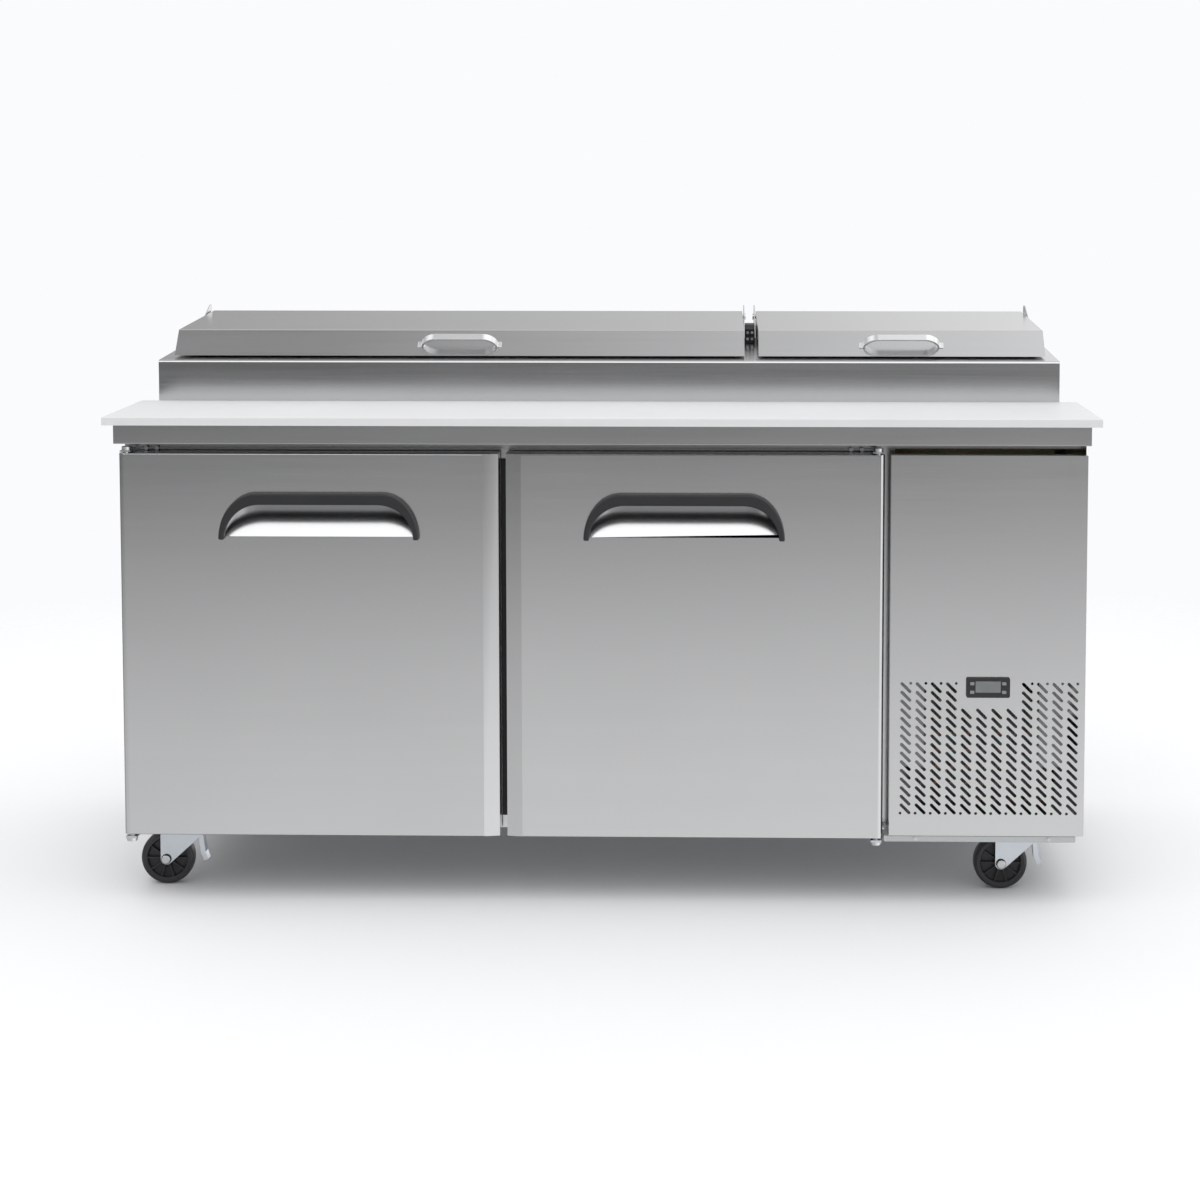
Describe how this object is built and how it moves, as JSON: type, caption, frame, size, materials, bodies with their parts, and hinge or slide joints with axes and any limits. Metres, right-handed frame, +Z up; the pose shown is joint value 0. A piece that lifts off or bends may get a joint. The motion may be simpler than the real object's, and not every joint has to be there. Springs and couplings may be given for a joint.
{
  "type": "sandwich prep table",
  "caption": "Refrigerated prep table: insulated cabinet with hinged doors, cutting board, raised pan rail under hinged lids, and a slotted machine panel, on casters.",
  "frame": {"origin": "on the floor at the centre of the footprint", "axes": "+X to the user's right, +Y from the user to the back, +Z up"},
  "size_m": [1.834, 0.8, 1.0751],
  "materials": {
    "stainless": "horizontal brush, satin",
    "liner_steel": "mill finish",
    "pan_steel": "satin, drawn",
    "zinc_steel": "bright zinc plate",
    "bright_steel": "polished",
    "galvanised": "galvanised, dull",
    "black_paint": "satin enamel",
    "fin_aluminium": "thin fins",
    "fan_aluminium": "stamped",
    "copper": "drawn tube",
    "foam": "rigid foam",
    "white_inner": "moulded, over a foam core",
    "white_board": "fine matt",
    "black_plastic": "fine grain",
    "black_gloss": "smooth",
    "button_plastic": "smooth",
    "fan_plastic": "smooth",
    "white_wire": "plastic coated",
    "gasket_rubber": "soft",
    "wheel_plastic": "moulded",
    "display_window": "clear"
  },
  "bodies": {
    "cabinet": {"cabinet_liner": "liner_steel", "cabinet_shell": "stainless", "caster_plates": "zinc_steel", "compressor": "black_paint", "condenser_coil": "fin_aluminium", "condenser_fan_mount": "galvanised", "controller_body": "black_gloss", "controller_window": "display_window", "cord_gland": "black_plastic", "door_frame": "stainless", "door_hinge_brackets": "zinc_steel", "evaporator_coil": "fin_aluminium", "evaporator_cover": "liner_steel", "food_pans": "pan_steel", "grille_panel": "stainless", "hinge_pins_and_screws": "bright_steel", "insulation": "foam", "lid_centre_block": "black_plastic", "lid_hinge_ears": "stainless", "machine_base_tray": "galvanised", "machine_cover": "stainless", "mullion_strip": "black_plastic", "pan_wells": "liner_steel", "refrigerant_pipes": "copper", "riser_shell": "stainless", "shelf_clips": "bright_steel", "worktop_deck": "stainless"},
    "cutting_board": {"cutting_board": "white_board"},
    "lid_left": {"lid_left_shell": "stainless", "lid_left_core": "white_inner", "lid_left_handle": "bright_steel"},
    "door_left": {"door_left_skin": "stainless", "door_left_inner_panel": "white_inner", "door_left_gasket": "gasket_rubber", "door_left_handle": "black_plastic"},
    "shelf_left": {"shelf_left": "white_wire"},
    "lid_right": {"lid_right_shell": "stainless", "lid_right_core": "white_inner", "lid_right_handle": "bright_steel"},
    "door_right": {"door_right_skin": "stainless", "door_right_inner_panel": "white_inner", "door_right_gasket": "gasket_rubber", "door_right_handle": "black_plastic"},
    "shelf_right": {"shelf_right": "white_wire"},
    "button_up": {"controller_button_up": "button_plastic"},
    "button_down": {"controller_button_down": "button_plastic"},
    "button_set": {"controller_button_set": "button_plastic"},
    "button_power": {"controller_button_power": "button_plastic"},
    "condenser_fan": {"condenser_fan_blade": "fan_aluminium"},
    "evaporator_fan": {"evaporator_fan_blade": "fan_plastic"},
    "caster_fl_fork": {"caster_fl_fork": "zinc_steel"},
    "caster_fl_wheel": {"caster_fl_wheel": "wheel_plastic"},
    "caster_fl_brake": {"caster_fl_brake": "zinc_steel"},
    "caster_fr_fork": {"caster_fr_fork": "zinc_steel"},
    "caster_fr_wheel": {"caster_fr_wheel": "wheel_plastic"},
    "caster_fr_brake": {"caster_fr_brake": "zinc_steel"},
    "caster_rl_fork": {"caster_rl_fork": "zinc_steel"},
    "caster_rl_wheel": {"caster_rl_wheel": "wheel_plastic"},
    "caster_rr_fork": {"caster_rr_fork": "zinc_steel"},
    "caster_rr_wheel": {"caster_rr_wheel": "wheel_plastic"}
  },
  "joints": [
    {"name": "board_lift", "type": "slide", "parent": "cabinet", "child": "cutting_board", "axis": [0, 0, 1], "range_m": [0, 0.1]},
    {"name": "lid_left_hinge", "type": "hinge", "parent": "cabinet", "child": "lid_left", "pos_m": [0, 0.35664, 1.05071], "axis": [-1, 0, 0], "range_deg": [0, 95]},
    {"name": "lid_right_hinge", "type": "hinge", "parent": "cabinet", "child": "lid_right", "pos_m": [0, 0.35664, 1.05071], "axis": [-1, 0, 0], "range_deg": [0, 95]},
    {"name": "door_left_hinge", "type": "hinge", "parent": "cabinet", "child": "door_left", "pos_m": [-0.881, -0.36, 0.48], "axis": [0, 0, -1], "range_deg": [0, 100]},
    {"name": "door_right_hinge", "type": "hinge", "parent": "cabinet", "child": "door_right", "pos_m": [0.511, -0.36, 0.48], "axis": [0, 0, 1], "range_deg": [0, 100]},
    {"name": "shelf_left_lift", "type": "slide", "parent": "cabinet", "child": "shelf_left", "axis": [0, 0, 1], "range_m": [0, 0.03]},
    {"name": "shelf_right_lift", "type": "slide", "parent": "cabinet", "child": "shelf_right", "axis": [0, 0, 1], "range_m": [0, 0.03]},
    {"name": "button_up_press", "type": "slide", "parent": "cabinet", "child": "button_up", "axis": [0, 1, 0], "range_m": [0, 0.0008], "stiffness_N_per_m": 300},
    {"name": "button_down_press", "type": "slide", "parent": "cabinet", "child": "button_down", "axis": [0, 1, 0], "range_m": [0, 0.0008], "stiffness_N_per_m": 300},
    {"name": "button_set_press", "type": "slide", "parent": "cabinet", "child": "button_set", "axis": [0, 1, 0], "range_m": [0, 0.0008], "stiffness_N_per_m": 300},
    {"name": "button_power_press", "type": "slide", "parent": "cabinet", "child": "button_power", "axis": [0, 1, 0], "range_m": [0, 0.0008], "stiffness_N_per_m": 300},
    {"name": "condenser_fan_spin", "type": "hinge", "parent": "cabinet", "child": "condenser_fan", "pos_m": [0.712, -0.205, 0.262], "axis": [0, 1, 0], "continuous": true},
    {"name": "evaporator_fan_spin", "type": "hinge", "parent": "cabinet", "child": "evaporator_fan", "pos_m": [0.424, 0.06, 0.62], "axis": [1, 0, 0], "continuous": true},
    {"name": "caster_fl_swivel", "type": "hinge", "parent": "cabinet", "child": "caster_fl_fork", "pos_m": [-0.806, -0.255, 0.11], "axis": [0, 0, 1], "continuous": true},
    {"name": "caster_fl_roll", "type": "hinge", "parent": "caster_fl_fork", "child": "caster_fl_wheel", "pos_m": [-0.836, -0.255, 0.0508], "axis": [0, 1, 0], "continuous": true},
    {"name": "caster_fl_brake_press", "type": "hinge", "parent": "caster_fl_fork", "child": "caster_fl_brake", "pos_m": [-0.772, -0.255, 0.1001], "axis": [0, 1, 0], "range_deg": [0, 12], "stiffness_Nm_per_rad": 0.4},
    {"name": "caster_fr_swivel", "type": "hinge", "parent": "cabinet", "child": "caster_fr_fork", "pos_m": [0.784, -0.255, 0.11], "axis": [0, 0, 1], "continuous": true},
    {"name": "caster_fr_roll", "type": "hinge", "parent": "caster_fr_fork", "child": "caster_fr_wheel", "pos_m": [0.754, -0.255, 0.0508], "axis": [0, 1, 0], "continuous": true},
    {"name": "caster_fr_brake_press", "type": "hinge", "parent": "caster_fr_fork", "child": "caster_fr_brake", "pos_m": [0.818, -0.255, 0.1001], "axis": [0, 1, 0], "range_deg": [0, 12], "stiffness_Nm_per_rad": 0.4},
    {"name": "caster_rl_swivel", "type": "hinge", "parent": "cabinet", "child": "caster_rl_fork", "pos_m": [-0.806, 0.32, 0.11], "axis": [0, 0, 1], "continuous": true},
    {"name": "caster_rl_roll", "type": "hinge", "parent": "caster_rl_fork", "child": "caster_rl_wheel", "pos_m": [-0.836, 0.32, 0.0508], "axis": [0, 1, 0], "continuous": true},
    {"name": "caster_rr_swivel", "type": "hinge", "parent": "cabinet", "child": "caster_rr_fork", "pos_m": [0.784, 0.32, 0.11], "axis": [0, 0, 1], "continuous": true},
    {"name": "caster_rr_roll", "type": "hinge", "parent": "caster_rr_fork", "child": "caster_rr_wheel", "pos_m": [0.754, 0.32, 0.0508], "axis": [0, 1, 0], "continuous": true}
  ]
}
